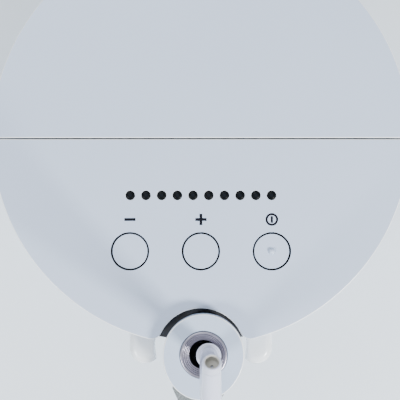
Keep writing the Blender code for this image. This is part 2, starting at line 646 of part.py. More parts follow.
def make_handle():
    axis = empty("handle_axis", (HANDLE_X, BASE_Y + HANDLE_Y, 0))
    low, high = HEAD_Z
    stretch = HEAD_FRONT_R / HEAD_R
    plate = [(x, y * stretch if y < 0 else y) for x, y in circle(0, 0, HEAD_R, 36)]
    head = prism("handle_head", plate, HEAD_PLATE_Z, high, "white_gloss", axis, turn=(0, 0, TWIST))
    soften(head, 0.8)
    neck = [(0, low), (NECK_R, low), (NECK_R, HEAD_PLATE_Z + 1), (0, HEAD_PLATE_Z + 1)]
    combine(head, turned("head_neck", neck, None, axis, sides=28), "UNION")
    floor = COLLAR_Z[0] - GAP
    bore = [(0, low - 1), (11.6, low - 1), (11.6, low + 1), (3.2, low + 1), (3.2, floor)]
    bore += [(COLLAR_R + GAP, floor), (COLLAR_R + GAP, high + 1), (0, high + 1)]
    combine(head, turned("head_bore", bore, None, axis, sides=28))
    slot = block("thumb_slot", (-7.4, -20, 156.6), (7.4, -9.8, 161.4), None, axis, turn=(0, 0, TWIST))
    combine(head, slot)
    top = low - GAP
    for name, side in (("front", -1), ("rear", 1)):
        plan = half_plan(GRIP_R, GRIP_R - GRIP_WALL, side)
        place = {"turn": (0, 0, TWIST)}
        shell = prism(f"handle_{name}_shell", plan, GRIP_BOTTOM_Z + 2, top, "white_gloss", axis, **place)
        if side < 0:
            space = block("slider_space", (-3.2, -20, 96.0), (3.2, -8, 118.0), None, axis, **place)
            combine(shell, space)
    cap = [(3.4, GRIP_BOTTOM_Z), (12.4, GRIP_BOTTOM_Z), (13.2, GRIP_BOTTOM_Z + 0.8)]
    cap += [(13.2, GRIP_BOTTOM_Z + 1.7), (3.4, GRIP_BOTTOM_Z + 1.7)]
    turned("handle_end_cap", cap, "grey_plastic", axis)
    nipple = [(1.5, 28.0), (2.4, 28.0), (3.1, 31.0), (3.1, 46.0), (1.5, 46.0)]
    turned("handle_hose_inlet", nipple, "brass", axis, sides=16)
    valve = [(2.4, 120.0), (6.0, 120.0), (6.0, 140.0), (2.4, 140.0)]
    turned("handle_water_valve", valve, "grey_plastic", axis, sides=16)
    water = [(1.5, 46.3), (3.1, 46.3), (3.1, 119.7), (1.5, 119.7)]
    turned("handle_water_tube", water, "clear_tube", axis, sides=14)
    place = {"turn": (0, 0, TWIST)}
    low, high = (-2.9, -GRIP_R - 1.6, 100.0), (2.9, -9.6, 108.0)
    slider = block("pause_slider", low, high, "grey_plastic", axis, **place)
    low, high = (-5.0, -GRIP_R - 2.8, 98.0), (5.0, -GRIP_R - 0.4, 110.0)
    combine(slider, block("slider_pad", low, high, None, axis, **place), "UNION")
    stem, wing, tip = THUMB_STEM, THUMB_WING, THUMB_TIP_R - THUMB_CORNER
    plan = [(-stem, -12.0), (-stem, -15.4), (-wing, -14.1), (-wing, -15.0), (-THUMB_TIP_HALF, -tip)]
    plan += arc(THUMB_CORNER - THUMB_TIP_HALF, -tip, THUMB_CORNER, math.pi, 1.5 * math.pi, 5)[1:]
    plan += [(-x, y) for x, y in reversed(plan)]
    prism("release_button", plan, *THUMB_Z, "grey_plastic", axis, turn=(0, 0, TWIST))
    low, high = COLLAR_Z
    collar = [(COLLAR_HOLE_R, low), (COLLAR_R, low), (COLLAR_R, high - 0.4), (COLLAR_R - 0.5, high)]
    ridges = 3
    for k in range(ridges):
        outer_r = COLLAR_R - 0.5 - (COLLAR_R - 0.5 - COLLAR_HOLE_R) * (k + 0.5) / ridges
        inner_r = COLLAR_R - 0.5 - (COLLAR_R - 0.5 - COLLAR_HOLE_R) * (k + 1) / ridges
        drop = 0.55 * (k + 1)
        collar.append((outer_r, high - drop - 0.35))
        collar.append((inner_r, high - drop + 0.1))
    turned("nozzle_collar", collar, "collar_metal", axis, sides=22)
    return axis


def nozzle_route():
    """The middle line of the nozzle, from its flange up, round the bend and out to its mouth."""
    route = [(0, 0, z) for z in (FLANGE_Z[1] + GAP, 182.0, 196.0, 208.0, 220.0, NOZZLE_RISE_Z)]
    steps = 6
    for k in range(1, steps + 1):
        a = NOZZLE_LEAN * k / steps
        y = NOZZLE_BEND_R * (1 - math.cos(a))
        route.append((0, y, NOZZLE_RISE_Z + NOZZLE_BEND_R * math.sin(a)))
    _, y, z = route[-1]
    lean = (math.sin(NOZZLE_LEAN), math.cos(NOZZLE_LEAN))
    straight = NOZZLE_REACH - MOUTH_LENGTH
    route.append((0, y + straight * lean[0], z + straight * lean[1]))
    return route, lean


def make_nozzle():
    axis = empty("nozzle_axis", (HANDLE_X + NOZZLE_X, BASE_Y + HANDLE_Y, 0))
    route, lean = nozzle_route()
    finish = "nozzle_plastic"
    tube("jet_nozzle_shaft", route, NOZZLE_R, finish, axis, resolution=3, end_radius=NOZZLE_END_R)
    low, high = FLANGE_Z
    plug = [(0, 157.0), (2.5, 157.0), (2.5, 159.6), (PLUG_R, 160.0), (PLUG_R, low), (FLANGE_R, low)]
    plug += [(FLANGE_R, low + 0.7), (FLANGE_R - 0.7, high), (0, high)]
    turned("nozzle_plug", plug, finish, axis)
    ring = [(2.55, 157.4), (3.1, 157.9), (3.1, 158.7), (2.55, 159.2)]
    turned("nozzle_seal", ring, "seal_rubber", axis, sides=16)
    _, y, z = route[-1]
    start = (0, y + GAP * lean[0], z + GAP * lean[1])
    end, edge = MOUTH_LENGTH - GAP, 0.35
    mouth = [(JET_R, 0), (NOZZLE_END_R, 0), (NOZZLE_END_R, end - edge), (NOZZLE_END_R - edge, end)]
    mouth += [(MOUTH_R, end), (MOUTH_R, end - MOUTH_DEPTH), (JET_R, end - MOUTH_DEPTH)]
    turned("nozzle_tip", mouth, "nozzle_tip", axis, sides=20, at=start, turn=(-NOZZLE_LEAN, 0, 0))


def main():
    clear_scene()
    base = empty("base_axis", (0, BASE_Y, 0))
    make_feet(base)
    make_bottom(base)
    make_drum(base)
    make_front_housing(base)
    make_cradle(base)
    make_panel(base)
    make_controls(base)
    make_motor(base)
    make_pump(base)
    make_plumbing(base)
    make_tank(base)
    make_lid(base)
    make_handle()
    make_nozzle()


main()
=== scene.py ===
"""Looks of the countertop water flosser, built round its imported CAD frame.

Sizes below are millimetres and are turned into metres where the meshes are made. Places come from
the CAD nodes' own boxes. Fine pieces stand in for the plain CAD nodes that show most; every other
node keeps its shape and gets a better material.
"""

import json
import math

import bmesh
import bpy
from mathutils import Matrix, Vector


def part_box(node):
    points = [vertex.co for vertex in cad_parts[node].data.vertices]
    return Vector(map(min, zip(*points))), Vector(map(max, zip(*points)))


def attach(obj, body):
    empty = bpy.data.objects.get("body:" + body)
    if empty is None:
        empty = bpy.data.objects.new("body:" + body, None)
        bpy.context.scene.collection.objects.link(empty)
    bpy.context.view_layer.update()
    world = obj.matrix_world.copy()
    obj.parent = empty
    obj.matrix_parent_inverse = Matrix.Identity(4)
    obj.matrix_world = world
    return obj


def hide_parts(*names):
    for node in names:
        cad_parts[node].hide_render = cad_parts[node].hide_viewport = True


MM = 0.001
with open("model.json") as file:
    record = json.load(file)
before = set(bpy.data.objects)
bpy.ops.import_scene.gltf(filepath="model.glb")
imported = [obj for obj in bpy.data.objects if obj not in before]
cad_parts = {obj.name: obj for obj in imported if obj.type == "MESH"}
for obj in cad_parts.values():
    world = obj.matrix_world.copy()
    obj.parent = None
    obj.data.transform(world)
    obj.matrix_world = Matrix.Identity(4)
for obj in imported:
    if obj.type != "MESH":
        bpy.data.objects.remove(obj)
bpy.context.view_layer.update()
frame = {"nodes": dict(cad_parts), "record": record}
nodes = frame["nodes"]


def span(node):
    """A CAD node's lowest and highest corners in millimetres."""
    low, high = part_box(node)
    return low / MM, high / MM


# Sizes shared with the CAD

panel_low, panel_high = span("control_panel")
lid_low, lid_high = span("tank_lid")
head_low, head_high = span("handle_head")
collar_low, collar_high = span("nozzle_collar")
RIM_R = panel_high.x
BODY_R = span("front_housing")[1].x
BASE_Y = lid_high.y - RIM_R
BASE = Vector((0, BASE_Y, 0))
TOP_Z = panel_high.z
SKIRT_Z = panel_low.z
EDGE_R = 0.5
HEAD_EDGE_R = 0.55
WALL = 2.5
TOP_T = 3.0
NOTCH = Vector((0, BASE_Y - 82.7, 0))
DECK_Z = span("base_housing")[1].z
TANK_TOP_Z = 149.9
DRUM_Z = span("base_housing")[0].z
OUTLET = BASE + Vector((22.0, 30.0, 0))
HINGE_Y = BASE_Y + 73.0
HINGE_Z = 152.2
NOTCH_R = 17.0
CHANNEL_R = 18.5
CORNER_R = 4.0
HANDLE = Vector(((collar_low.x + collar_high.x) / 2, (collar_low.y + collar_high.y) / 2, 0))
COLLAR_R = (collar_high.x - collar_low.x) / 2
HEAD_R = 15.3
HEAD_FRONT_R = 17.2
HEAD_PLATE_Z = 162.2
NECK_R = 13.2
TWIST = Matrix.Rotation(math.radians(-8.0), 4, "Z")
KEYS = ("minus", "plus", "power")
BUTTON_R = 6.7
BUTTON_HOLE_R = 7.25
BUTTON_FLANGE_R = 8.4
SEAM_EDGE_R = 0.45
SIGNS_Y = BASE_Y - 31.7
LIGHT_COUNT = 10
LIGHT_PITCH = 6.0
LIGHT_R = 1.65
LIGHT_HOLE_R = 1.85
GAP = 0.3  # between pieces that touch
ARM_R = 6.2
ARM_DEPTH = 7.0
ARM_BACK = 12.0
LINER_ANGLE = math.radians(15.0)
LINER_INNER_R = 13.6
CUP_R = 17.0
CUP_INNER_R = 14.0
CUP_FLOOR_Z = 35.7
GRIP_R = 13.2
GRIP_INNER_R = 11.2
COLLAR_HOLE_R = 5.5
KNUCKLE_R = 3.2
PIN_HOLE_R = 1.6
LID_KNUCKLE_HALF = 12.0
GATE_HALF = 29.0
TANK_REAR = 68.0
LEVEL_LINES = ((84, 6), (98, 6), (112, 6), (126, 6), (138, 12))  # height and length
LEVEL_LINES_X = 34.0
SOCKET_HOLE_R = 8.3
WIRE_HOLE = BASE + Vector((0, -30, 0))
WIRE_HOLE_R = 6.0
GROOVE_COUNT = 7
GROOVE_PITCH = 4.0
GROOVE_Z = 58.0
FINE = 128  # sides of a large round


# Node materials


def shader(name):
    made = bpy.data.materials.new(name)
    made.use_nodes = True
    return made, made.node_tree, made.node_tree.nodes["Principled BSDF"]


def noise(tree, scale, detail=2.0, stretch=None):
    """A noise in the object's own coordinates; scale is in features per metre."""
    place = tree.nodes.new("ShaderNodeTexCoord")
    made = tree.nodes.new("ShaderNodeTexNoise")
    made.inputs["Scale"].default_value = scale
    made.inputs["Detail"].default_value = detail
    source = place.outputs["Object"]
    if stretch:
        mapping = tree.nodes.new("ShaderNodeMapping")
        mapping.inputs["Scale"].default_value = stretch
        tree.links.new(source, mapping.inputs["Vector"])
        source = mapping.outputs["Vector"]
    tree.links.new(source, made.inputs["Vector"])
    return made.outputs["Fac"]


def spread(tree, value, low, high):
    """Maps a noise's middle range onto low..high."""
    made = tree.nodes.new("ShaderNodeMapRange")
    made.inputs["From Min"].default_value = 0.3
    made.inputs["From Max"].default_value = 0.7
    made.inputs["To Min"].default_value = low
    made.inputs["To Max"].default_value = high
    tree.links.new(value, made.inputs["Value"])
    return made.outputs["Result"]


def tint(tree, value, first, second):
    made = tree.nodes.new("ShaderNodeMix")
    made.data_type = "RGBA"
    made.inputs["A"].default_value = (*first, 1.0)
    made.inputs["B"].default_value = (*second, 1.0)
    tree.links.new(value, made.inputs["Factor"])
    return made.outputs["Result"]


def bump(tree, height, distance, strength=1.0, below=None):
    made = tree.nodes.new("ShaderNodeBump")
    made.inputs["Strength"].default_value = strength
    made.inputs["Distance"].default_value = MM * distance
    tree.links.new(height, made.inputs["Height"])
    if below:
        tree.links.new(below, made.inputs["Normal"])
    return made.outputs["Normal"]


def moulded(name, colour, rough, grain=2600, depth=0.004, shade=0.97, **sockets):
    """Injection-moulded plastic: fine even grain, slight changes of tone and gloss."""
    made, tree, body = shader(name)
    soft = noise(tree, 45.0)
    low, high = rough
    tree.links.new(spread(tree, soft, low, high), body.inputs["Roughness"])
    factor = spread(tree, noise(tree, 18.0, 3.0), 0.0, 1.0)
    darker = [c * shade for c in colour]
    tree.links.new(tint(tree, factor, darker, colour), body.inputs["Base Color"])
    normal = bump(tree, noise(tree, grain, 3.0), depth)
    tree.links.new(normal, body.inputs["Normal"])
    for socket, value in sockets.items():
        body.inputs[socket.replace("_", " ")].default_value = value
    return made


def stippled(name, colour, rough, pitch=1500, depth=0.10):
    """A coarse moulded stipple of small cells, its colour darkened towards the recessed cell edges as
    painted shade.
    """
    made, tree, body = shader(name)
    place = tree.nodes.new("ShaderNodeTexCoord")
    cells = tree.nodes.new("ShaderNodeTexVoronoi")
    cells.inputs["Scale"].default_value = pitch
    tree.links.new(place.outputs["Object"], cells.inputs["Vector"])
    distance = cells.outputs["Distance"]
    tree.links.new(bump(tree, distance, -depth), body.inputs["Normal"])
    # Painted shade: the colour darkens towards each cell's edge, where the bump sinks.
    factor = spread(tree, distance, 1.0, 0.0)
    darker = [c * 0.62 for c in colour]
    tree.links.new(tint(tree, factor, darker, colour), body.inputs["Base Color"])
    tree.links.new(spread(tree, noise(tree, 60.0), *rough), body.inputs["Roughness"])
    return made


def turned_metal(name, colour, rough, across):
    """Metal with fine tool marks, drawn out along the directions where across is small."""
    made, tree, body = shader(name)
    body.inputs["Metallic"].default_value = 1.0
    marks = noise(tree, 900.0, 2.0, stretch=across)
    tree.links.new(spread(tree, marks, *rough), body.inputs["Roughness"])
    factor = spread(tree, noise(tree, 160.0), 0.0, 1.0)
    tree.links.new(tint(tree, factor, [c * 0.86 for c in colour], colour), body.inputs["Base Color"])
    tree.links.new(bump(tree, marks, 0.006), body.inputs["Normal"])
    return made


def clear(name, colour, rough, transmission, ripple=0.02):
    """Clear moulded plastic with a faint ripple from the mould."""
    made, tree, body = shader(name)
    body.inputs["Transmission Weight"].default_value = transmission
    body.inputs["IOR"].default_value = 1.49
    tree.links.new(spread(tree, noise(tree, 120.0), *rough), body.inputs["Roughness"])
    factor = spread(tree, noise(tree, 30.0), 0.0, 1.0)
    tree.links.new(tint(tree, factor, [c * 0.97 for c in colour], colour), body.inputs["Base Color"])
    tree.links.new(bump(tree, noise(tree, 90.0, 1.0), ripple, 0.4), body.inputs["Normal"])
    return made


def circuit(name):
    """Solder mask with faint copper tracks under it."""
    made, tree, body = shader(name)
    place = tree.nodes.new("ShaderNodeTexCoord")
    tracks = tree.nodes.new("ShaderNodeTexBrick")
    tracks.inputs["Scale"].default_value = 260.0
    tracks.inputs["Color1"].default_value = (0.030, 0.160, 0.085, 1.0)
    tracks.inputs["Color2"].default_value = (0.036, 0.190, 0.100, 1.0)
    tracks.inputs["Mortar"].default_value = (0.090, 0.290, 0.150, 1.0)
    tree.links.new(place.outputs["Object"], tracks.inputs["Vector"])
    tree.links.new(tracks.outputs["Color"], body.inputs["Base Color"])
    tree.links.new(spread(tree, noise(tree, 400.0), 0.30, 0.45), body.inputs["Roughness"])
    return made


WHITE = (0.50, 0.59, 0.75)
# Painted highlight: a near-white tone for rounded upper edges, standing in for the light they catch.
RIM_HIGHLIGHT_PAINT = (0.95, 0.98, 1.0)
# Painted highlight: the cradle arms are the body's white plastic, painted this much lighter to stand in
# for the light on them.
ARM_HIGHLIGHT_PAINT = (0.93, 0.97, 1.0)
GLOSS = {"depth": 0.002, "Coat_Weight": 0.3}
FLAT = {"depth": 0.001, "Specular_IOR_Level": 0.1}
LOOKS = {
    "white_plastic": moulded("white_plastic", WHITE, (0.36, 0.44), Coat_Weight=0.35, Coat_Roughness=0.15),
    # The white plastic with a painted highlight, for rounded upper edges.
    "rim_white_painted_highlight": moulded("rim_white_painted_highlight", RIM_HIGHLIGHT_PAINT, (0.36, 0.44), Coat_Weight=0.35, Coat_Roughness=0.15),
    "white_gloss": moulded("white_gloss", (0.49, 0.59, 0.745), (0.20, 0.26), **GLOSS),
    # The gloss plastic with a painted highlight, for the head's rounded upper edge.
    "rim_gloss_painted_highlight": moulded("rim_gloss_painted_highlight", RIM_HIGHLIGHT_PAINT, (0.20, 0.26), **GLOSS),
    # The arms' gloss plastic with a painted highlight.
    "arm_white_painted_highlight": moulded("arm_white_painted_highlight", ARM_HIGHLIGHT_PAINT, (0.2, 0.26), **GLOSS),
    "tank_plastic": clear("tank_plastic", (0.78, 0.87, 0.93), (0.05, 0.12), 0.92),
    "dark_lens": moulded("dark_lens", (0.002, 0.003, 0.004), (0.3, 0.4), **FLAT),
    "lens_core": moulded("lens_core", (0.006, 0.008, 0.011), (0.3, 0.4), **FLAT),
    "grey_plastic": moulded("grey_plastic", (0.36, 0.39, 0.40), (0.45, 0.6), grain=1600, depth=0.02),
    "grip_grey": stippled("grip_grey", (0.21, 0.235, 0.24), (0.45, 0.6)),
    "rubber": moulded("rubber", (0.045, 0.045, 0.048), (0.7, 0.85), grain=1200, depth=0.03, shade=0.8),
    # Painted shade: a near-black for the walls of the seam gap between panel and lid.
    "seal_rubber": moulded("seal_rubber", (0.06, 0.065, 0.075), (0.55, 0.7), grain=1800, depth=0.01),
    "collar_metal": turned_metal("collar_metal", (0.48, 0.46, 0.54), (0.28, 0.42), (1, 1, 6)),
    "steel": turned_metal("steel", (0.58, 0.58, 0.60), (0.22, 0.38), (1, 1, 5)),
    "brass": turned_metal("brass", (0.70, 0.50, 0.22), (0.25, 0.40), (1, 1, 5)),
    "board_green": circuit("board_green"),
    "nylon": moulded("nylon", (0.78, 0.76, 0.69), (0.40, 0.5), grain=1500, depth=0.01),
    "clear_tube": clear("clear_tube", (0.84, 0.88, 0.92), (0.12, 0.2), 0.75),
    "nozzle_plastic": clear("nozzle_plastic", (0.79, 0.83, 1.0), (0.14, 0.22), 0.25),
    "nozzle_tip": moulded("nozzle_tip", (0.52, 0.51, 0.47), (0.5, 0.65), grain=1400, depth=0.01),
    # Ink for the printed signs; also painted shade, a near-black for the walls and floors of gaps and
    # holes.
    "ink_and_painted_shade": moulded("ink_and_painted_shade", (0.004, 0.005, 0.009), (0.5, 0.6), **FLAT),
}


# Mesh helpers


def arc(x, y, radius, start, end, steps):
    turns = [start + (end - start) * k / steps for k in range(steps + 1)]
    return [(x + radius * math.cos(a), y + radius * math.sin(a)) for a in turns]


def rounded(corners, steps=5):
    """A closed outline from corners (x, y, radius), each rounded to its own radius."""
    points = []
    for k, (x, y, radius) in enumerate(corners):
        here = Vector((x, y))
        if not radius:
            points.append((x, y))
            continue
        before = (here - Vector(corners[k - 1][:2])).normalized()
        after = (Vector(corners[(k + 1) % len(corners)][:2]) - here).normalized()
        turn = math.atan2(before.x * after.y - before.y * after.x, before.dot(after))
        side = math.copysign(1, turn)
        start = here - before * abs(radius * math.tan(turn / 2))
        centre = start + Vector((-before.y, before.x)) * side * radius
        arm = start - centre
        for s in range(steps + 1):
            swung = Matrix.Rotation(turn * s / steps, 2) @ arm
            points.append(tuple(centre + swung))
    return points


def mesh_object(name, points, faces, place=None):
    mesh = bpy.data.meshes.new(name)
    mesh.from_pydata([MM * Vector(p) for p in points], [], faces)
    edit = bmesh.new()
    edit.from_mesh(mesh)
    bmesh.ops.remove_doubles(edit, verts=edit.verts, dist=1e-7)
    bmesh.ops.recalc_face_normals(edit, faces=edit.faces)
    if place:
        place = place.copy()
        place.translation *= MM
        edit.transform(place)
    edit.to_mesh(mesh)
    edit.free()
    made = bpy.data.objects.new(name, mesh)
    bpy.context.scene.collection.objects.link(made)
    return made


def shift(at):
    return Matrix.Translation(Vector(at))


def lathe(name, profile, sides=96, place=None):
    """A solid of revolution about Z from a closed profile of (radius, height)."""
    points, rings, faces = [], [], []
    for radius, height in profile:
        count = 1 if radius <= 1e-6 else sides
        rings.append([len(points) + k for k in range(count)])
        for k in range(count):
            a = 2 * math.pi * k / sides
            points.append((radius * math.cos(a), radius * math.sin(a), height))
    for here, there in zip(rings, rings[1:] + rings[:1]):
        if len(here) == len(there) == 1:
            continue
        for k in range(sides):
            after = (k + 1) % sides
            corners = [here[k % len(here)], here[after % len(here)]]
            corners += [there[after % len(there)], there[k % len(there)]]
            faces.append(list(dict.fromkeys(corners)))
    return mesh_object(name, points, faces, place)


def inset(outline, depth):
    """The outline moved inwards by depth, mitred; the outline runs anticlockwise."""
    moved = []
    for k, (x, y) in enumerate(outline):
        here = Vector((x, y))
        into = (here - Vector(outline[k - 1])).normalized()
        out = (Vector(outline[(k + 1) % len(outline)]) - here).normalized()
        first, second = Vector((-into.y, into.x)), Vector((-out.y, out.x))
        moved.append(here + depth * (first + second) / (1 + first.dot(second)))
    return moved


def slab(name, outline, rings, place=None):
    """An upright solid: the outline set in by each (depth, height) of rings in turn."""
    points, faces = [], []
    count = len(outline)
    for depth, height in rings:
        points += [(p[0], p[1], height) for p in inset(outline, depth)]
    for level in range(len(rings) - 1):
        for k in range(count):
            a, b = level * count + k, level * count + (k + 1) % count
            faces.append([a, b, b + count, a + count])
    faces.append(list(range(count))[::-1])
    faces.append(list(range((len(rings) - 1) * count, len(rings) * count)))
    return mesh_object(name, points, faces, place)


def edged(low, high, below, above, steps=5):
    """Rings for a slab whose lower and upper edges are rounded by below and above."""
    rings = []
    for s in range(steps + 1):
        a = 0.5 * math.pi * s / steps
        rings.append((below * (1 - math.sin(a)), low + below * (1 - math.cos(a))))
    for s in range(steps + 1):
        a = 0.5 * math.pi * s / steps
        rings.append((above * (1 - math.cos(a)), high - above * (1 - math.sin(a))))
    return rings


def rim(up):
    """Whether a face is part of a rounded upper edge, from its normal's height; these faces get the
    painted highlight.
    """
    return 0.05 < up < 0.965


def off(at):
    """How far a point is from the handle's axis."""
    return (at - HANDLE).xy.length


def recolour(piece, look, chosen):
    """Gives a second look to the faces that chosen(middle in mm, normal's height) picks."""
    piece.data.materials.append(LOOKS[look])
    index = len(piece.data.materials) - 1
    for face in piece.data.polygons:
        if chosen(face.center / MM, face.normal.z):
            face.material_index = index


def carve(target, tools, operation="DIFFERENCE"):
    """Cuts the tools out of the target, or joins them on, and removes them."""
    for tool in tools:
        step = target.modifiers.new(tool.name, "BOOLEAN")
        step.operation = operation
        step.object = tool
        step.solver = "EXACT"
    bpy.context.view_layer.update()
    graph = bpy.context.evaluated_depsgraph_get()
    result = bpy.data.meshes.new_from_object(target.evaluated_get(graph))
    target.modifiers.clear()
    target.data = result
    for tool in tools:
        bpy.data.objects.remove(tool)
    return target


def block(name, low, high, place=None, radius=0.0):
    corners = [(low[0], low[1]), (high[0], low[1]), (high[0], high[1]), (low[0], high[1])]
    outline = rounded([(x, y, radius) for x, y in corners])
    return slab(name, outline, [(0, low[2]), (0, high[2])], place)


def show(piece, look, body, *stands_for, slot=None, angle=35):
    """Gives a piece its material and puts it on its body, in place of the nodes named."""
    mesh = piece.data
    mesh.materials.clear()
    mesh.materials.append(LOOKS[look])
    for face in mesh.polygons:
        face.material_index = 0
    mesh.shade_smooth()
    mesh.set_sharp_from_angle(angle=math.radians(angle))
    flat = piece.modifiers.new("flat faces stay flat", "WEIGHTED_NORMAL")
    flat.keep_sharp = True
    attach(piece, body)
    if stands_for:
        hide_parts(*stands_for)
    return piece


# Outlines, about the base's axis


def base_outline(radius, notch, corner=CORNER_R, back=None, steps=64):
    """A disc with the cradle notch at its front, cut off behind y = back if given."""
    notch_y = NOTCH.y - BASE_Y
    reach, spread_r = radius - corner, notch + corner
    corner_y = -(reach**2 - spread_r**2 + notch_y**2) / (2 * -notch_y)
    corner_x = math.sqrt(reach**2 - corner_y**2)
    edge = math.atan2(corner_y, corner_x)
    toward = math.atan2(notch_y - corner_y, -corner_x)
    notch_angle = math.atan2(corner_y - notch_y, corner_x)
    start = 0.0 if back is None else math.asin(back / radius)
    right = arc(corner_x, corner_y, corner, toward, edge, 10)
    left = arc(-corner_x, corner_y, corner, math.pi - edge, math.pi - toward, 10)
    inside = arc(0, notch_y, notch, math.pi - notch_angle, notch_angle, 48)
    near = arc(0, 0, radius, edge, start, steps)[1:]
    far = arc(0, 0, radius, math.pi - start, math.pi - edge, steps)[:-1]
    rear = [] if back is not None else arc(0, 0, radius, 0, math.pi, FINE)[1:-1]
    return right + near + rear + far + left + inside[1:-1]


def rear_outline(radius, front, rear=None):
    """The part of a disc behind y = front, and in front of y = rear if given."""
    start = math.asin(front / radius)
    if rear is None:
        return arc(0, 0, radius, start, math.pi - start, FINE)
    corner = math.asin(rear / radius)
    right = arc(0, 0, radius, start, corner, 40)
    left = arc(0, 0, radius, math.pi - corner, math.pi - start, 40)
    return right + left


# Control panel


def build_panel():
    back = panel_high.y
    outline = base_outline(RIM_R, NOTCH_R)
    panel = slab("panel_shell", outline, edged(SKIRT_Z, TOP_Z, 0.3, EDGE_R), shift(BASE))
    inner = base_outline(RIM_R - WALL, NOTCH_R + WALL, back=back - BASE_Y - WALL)
    tools = [slab("space", inner, [(0, SKIRT_Z - 1), (0, TOP_Z - TOP_T)], shift(BASE))]
    tools.append(seam_cutter(back, 1))
    for name in KEYS:
        profile = mouth(BUTTON_HOLE_R, 0.15)
        tools.append(lathe(f"{name}_hole", profile, place=shift(middle(f"{name}_button"))))
    for at in light_spots():
        tools.append(lathe("light_hole", mouth(LIGHT_HOLE_R, 0.14), sides=40, place=shift(at)))
    carve(panel, tools)
    show(panel, "white_plastic", "base", "control_panel")
    # Painted highlight on the panel's rounded upper edges.
    recolour(panel, "rim_white_painted_highlight", lambda at, up: at.z > TOP_Z - EDGE_R and rim(up))
    # Painted shade on the seam gap's walls below the top.
    recolour(panel, "seal_rubber", lambda at, up: abs(at.y - back) < 0.05 and at.z < TOP_Z - 1)
    # Painted shade: the button holes' walls are made near-black, so the gaps round the buttons read dark.
    spots = [Vector(middle(f"{name}_button")).xy for name in KEYS]
    for spot in spots:
        edge = BUTTON_HOLE_R + 0.12
        recolour(panel, "ink_and_painted_shade", lambda at, up: (at.xy - spot).length < edge and at.z < TOP_Z - 0.01)


def seam_cutter(y, side):
    """Takes away all beyond a crosswise line, and rounds the upper edge that it leaves."""
    far = y + side * 200
    turn = 0.5 * math.pi
    profile = [(y, SKIRT_Z - 9), (far, SKIRT_Z - 9), (far, TOP_Z + 3), (y - side * SEAM_EDGE_R, TOP_Z + 3)]
    for s in range(5):
        a = turn * (1 - s / 4)
        out = SEAM_EDGE_R * (1 - math.cos(a))
        profile.append((y - side * out, TOP_Z - SEAM_EDGE_R * (1 - math.sin(a))))
    if side < 0:
        profile.reverse()
    across = Matrix(((0, 0, 1, 0), (1, 0, 0, 0), (0, 1, 0, 0), (0, 0, 0, 1)))
    return slab("seam", profile, [(0, -100), (0, 100)], across)


def mouth(radius, flare, steps=4):
    """Profile of a hole's cutter, with the hole's upper edge rounded by flare."""
    profile = [(0, TOP_Z - 8), (radius, TOP_Z - 8)]
    for s in range(steps + 1):
        a = 0.5 * math.pi * s / steps
        profile.append((radius + flare * (1 - math.cos(a)), TOP_Z - flare * (1 - math.sin(a))))
    return [*profile, (radius + flare, TOP_Z + 2), (0, TOP_Z + 2)]


def middle(node):
    low, high = span(node)
    return (low.x + high.x) / 2, (low.y + high.y) / 2, 0


def light_spots():
    x, y, _ = middle("level_lights")
    return [(x + (k - (LIGHT_COUNT - 1) / 2) * LIGHT_PITCH, y, 0) for k in range(LIGHT_COUNT)]


def build_buttons():
    low, high = span("minus_button")
    stem, flange, rim_z, top = low.z, low.z + 0.8, low.z + 2.2, high.z
    for name in KEYS:
        profile = rounded(
            [
                (0, stem, 0),
                (1.6, stem, 0.2),
                (1.6, flange, 0),
                (BUTTON_FLANGE_R, flange, 0.2),
                (BUTTON_FLANGE_R, rim_z, 0.2),
                (BUTTON_R, rim_z, 0),
                (BUTTON_R, top - 0.02, 0.2),
                (0, top, 0),
            ]
        )
        if name == "power":
            profile = profile[:-1] + nub(top)
        key = lathe(f"{name}_key", profile, place=shift(middle(f"{name}_button")))
        show(key, "white_plastic", f"{name}_button", f"{name}_button", angle=50)
        # Painted shade: the key's sides below its top are made near-black, for the gap round it.
        recolour(key, "ink_and_painted_shade", lambda at, up: at.z < top - 0.1)


def nub(top, radius=1.3, steps=8):
    """A small raised dome in the middle of the button."""
    return [(radius * math.cos(a), top + radius * math.sin(a)) for a in quarter_turn(steps)]


def quarter_turn(steps):
    return [0.5 * math.pi * k / steps for k in range(steps + 1)]


def build_lights():
    low, high = span("level_lights")
    bar = block("level_lens_row", (low.x, low.y, low.z), (high.x, high.y, low.z + 3))
    lens = rounded(
        [
            (0, low.z + 2, 0),
            (LIGHT_R, low.z + 2, 0),
            (LIGHT_R, high.z - 0.25, 0.3),
            (0.78, high.z - 0.02, 0),
            (0.72, high.z - 0.12, 0),
            (0, high.z - 0.05, 0),
        ]
    )
    pins = [lathe("light", lens, sides=40, place=shift(at)) for at in light_spots()]
    carve(bar, pins, "UNION")
    show(bar, "dark_lens", "base", "level_lights", angle=50)
    spots = [Vector(at).xy for at in light_spots()]

    def in_core(at, up):
        return at.z > high.z - 0.3 and min((at.xy - spot).length for spot in spots) < 0.72

    recolour(bar, "lens_core", in_core)


